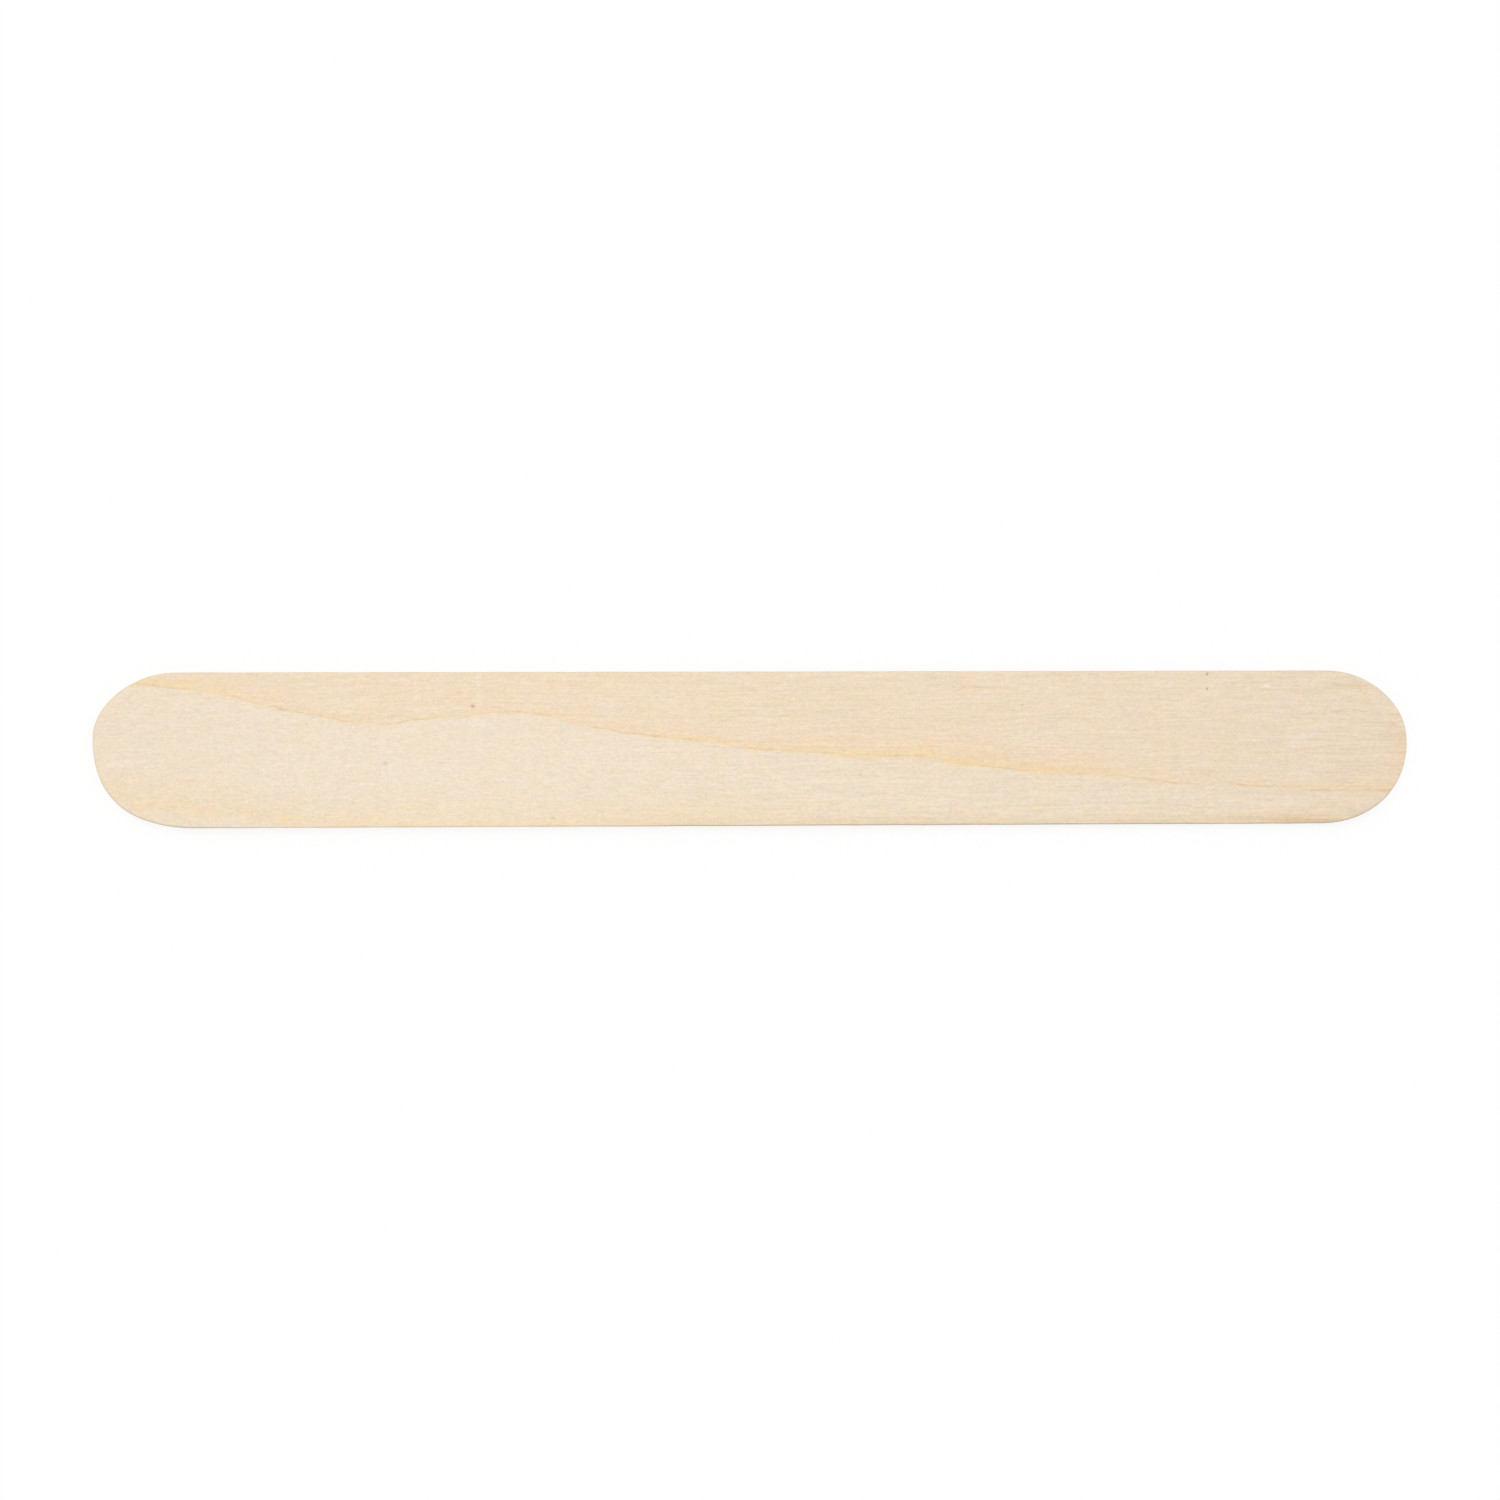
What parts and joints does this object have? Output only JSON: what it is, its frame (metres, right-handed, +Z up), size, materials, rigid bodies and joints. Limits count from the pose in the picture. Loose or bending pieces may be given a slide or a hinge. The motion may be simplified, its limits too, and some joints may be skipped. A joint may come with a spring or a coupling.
{
  "type": "wooden tongue depressor",
  "caption": "Flat wooden tongue depressor: a thin straight strip of pale birch with rounded ends and softly eased edges, lying on its broad face.",
  "frame": {"origin": "under the middle of the blade, on the face that it rests on", "axes": "+X along the blade's length, +Y across its width, +Z up through its thickness"},
  "size_m": [0.1524, 0.0178, 0.0016],
  "materials": {
    "birch_wood": "bare birch veneer, polished dry by tumbling, with no varnish"
  },
  "bodies": {
    "root": {"blade": "birch_wood"}
  },
  "joints": []
}
